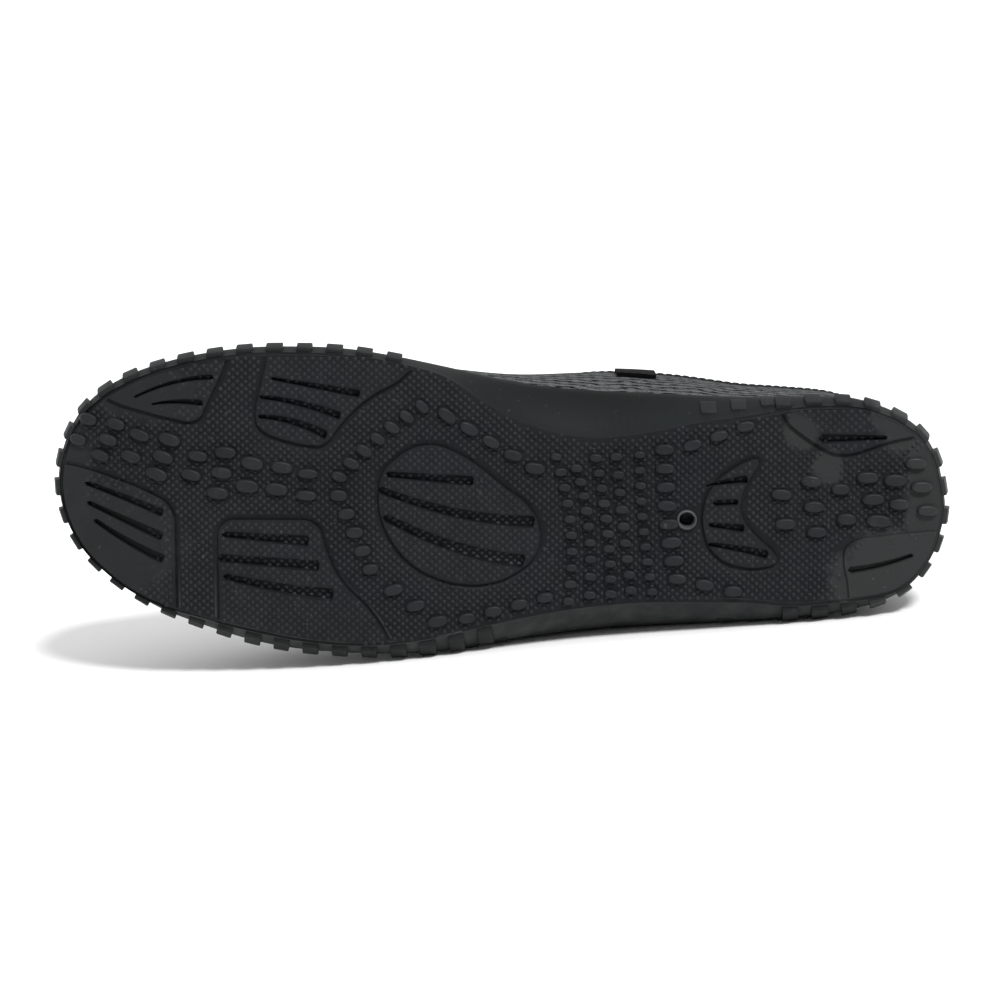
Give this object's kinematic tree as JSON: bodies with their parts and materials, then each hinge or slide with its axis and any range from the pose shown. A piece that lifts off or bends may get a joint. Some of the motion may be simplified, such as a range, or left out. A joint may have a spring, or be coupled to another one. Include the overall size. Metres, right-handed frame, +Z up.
{
  "type": "water shoe",
  "caption": "Low slip-on water shoe for the right foot with a pale knit upper and a dark studded rubber sole with leaf-shaped slits, lying on its outer side.",
  "frame": {"origin": "middle of the lower side of the whole shoe's box, on the floor that it lies on", "axes": "-X towards the toe, +X towards the heel, +Z up towards the inner side of the foot, tread facing -Y, collar opening facing +Y"},
  "size_m": [0.274, 0.0774, 0.1016],
  "materials": {
    "sole_rubber": "matt charcoal rubber, worn smoother and greyer at the toe and heel edges",
    "knit": "light grey open knit with fine wavy courses",
    "insole_cloth": "plain dark cloth over thin foam",
    "tab_webbing": "black woven webbing"
  },
  "bodies": {
    "root": {"outsole": "sole_rubber", "upper": "knit", "insole": "insole_cloth", "side_tab": "tab_webbing"}
  },
  "joints": []
}
